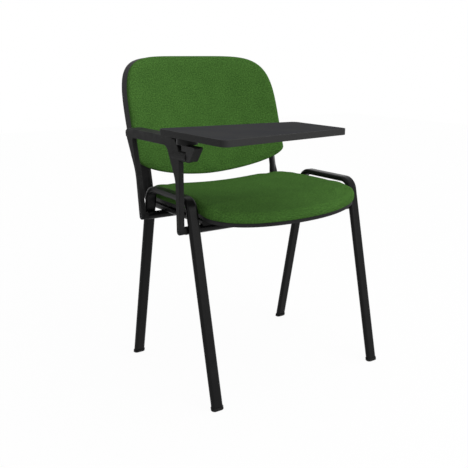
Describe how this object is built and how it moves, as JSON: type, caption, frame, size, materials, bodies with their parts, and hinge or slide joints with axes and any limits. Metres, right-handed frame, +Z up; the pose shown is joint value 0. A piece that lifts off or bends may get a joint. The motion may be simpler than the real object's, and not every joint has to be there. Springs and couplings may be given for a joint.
{
  "type": "tablet arm chair",
  "caption": "Stacking conference chair with upholstered seat and back on a bent tube frame, one arm and a writing tablet that flips up and swivels.",
  "frame": {"origin": "on the floor, under the middle of the bounding box", "axes": "+Z up, the sitter faces -Y, the arm and the tablet are on the sitter's right at -X"},
  "size_m": [0.5814, 0.6864, 0.82],
  "materials": {
    "frame_paint": "black satin powder coat",
    "black_steel": "black oxide steel",
    "zinc_steel": "zinc plated steel",
    "foot_plastic": "black moulded plastic",
    "shell_plastic": "black grained plastic",
    "plywood": "raw plywood",
    "cushion_foam": "open-cell foam",
    "green_fabric": "woven green upholstery cloth",
    "arm_plastic": "black moulded plastic",
    "pivot_plastic": "black bearing plastic",
    "mechanism_paint": "black painted casting",
    "tablet_laminate": "dark grey laminated board",
    "tablet_band": "black edge band"
  },
  "bodies": {
    "chair": {"left_side_frame": "frame_paint", "right_side_frame": "frame_paint", "front_cross_tube": "frame_paint", "rear_cross_tube": "frame_paint", "left_back_upright": "frame_paint", "right_back_upright": "frame_paint", "seat_bolts": "black_steel", "arm_bolts": "black_steel", "arm_washers": "black_steel", "tube_inserts": "zinc_steel", "seat_tee_nuts": "zinc_steel", "back_screws": "zinc_steel", "upright_screws": "zinc_steel", "stop_screw": "zinc_steel", "front_left_foot": "foot_plastic", "front_right_foot": "foot_plastic", "rear_left_foot": "foot_plastic", "rear_right_foot": "foot_plastic", "runner_plugs": "foot_plastic", "seat_shell": "shell_plastic", "back_shell": "shell_plastic", "seat_board": "plywood", "back_board": "plywood", "seat_foam": "cushion_foam", "back_foam": "cushion_foam", "seat_cover": "green_fabric", "back_cover": "green_fabric", "arm": "arm_plastic", "pivot_bush": "pivot_plastic"},
    "hinge": {"hinge_block": "mechanism_paint", "pivot_pin": "zinc_steel", "swivel_stud": "zinc_steel", "thrust_washer": "pivot_plastic", "spring_washer": "zinc_steel", "swivel_nut": "zinc_steel"},
    "tablet": {"swivel_disc": "mechanism_paint", "disc_screws": "zinc_steel", "tablet_board": "tablet_laminate", "tablet_edge": "tablet_band"}
  },
  "joints": [
    {"name": "tablet_flip", "type": "hinge", "parent": "chair", "child": "hinge", "pos_m": [-0.26075, -0.15807, 0.601], "axis": [0, -1, 0], "range_deg": [0, 90]},
    {"name": "tablet_swivel", "type": "hinge", "parent": "hinge", "child": "tablet", "pos_m": [-0.25575, -0.14006, 0.6285], "axis": [0, 0, -1], "range_deg": [0, 180]}
  ]
}
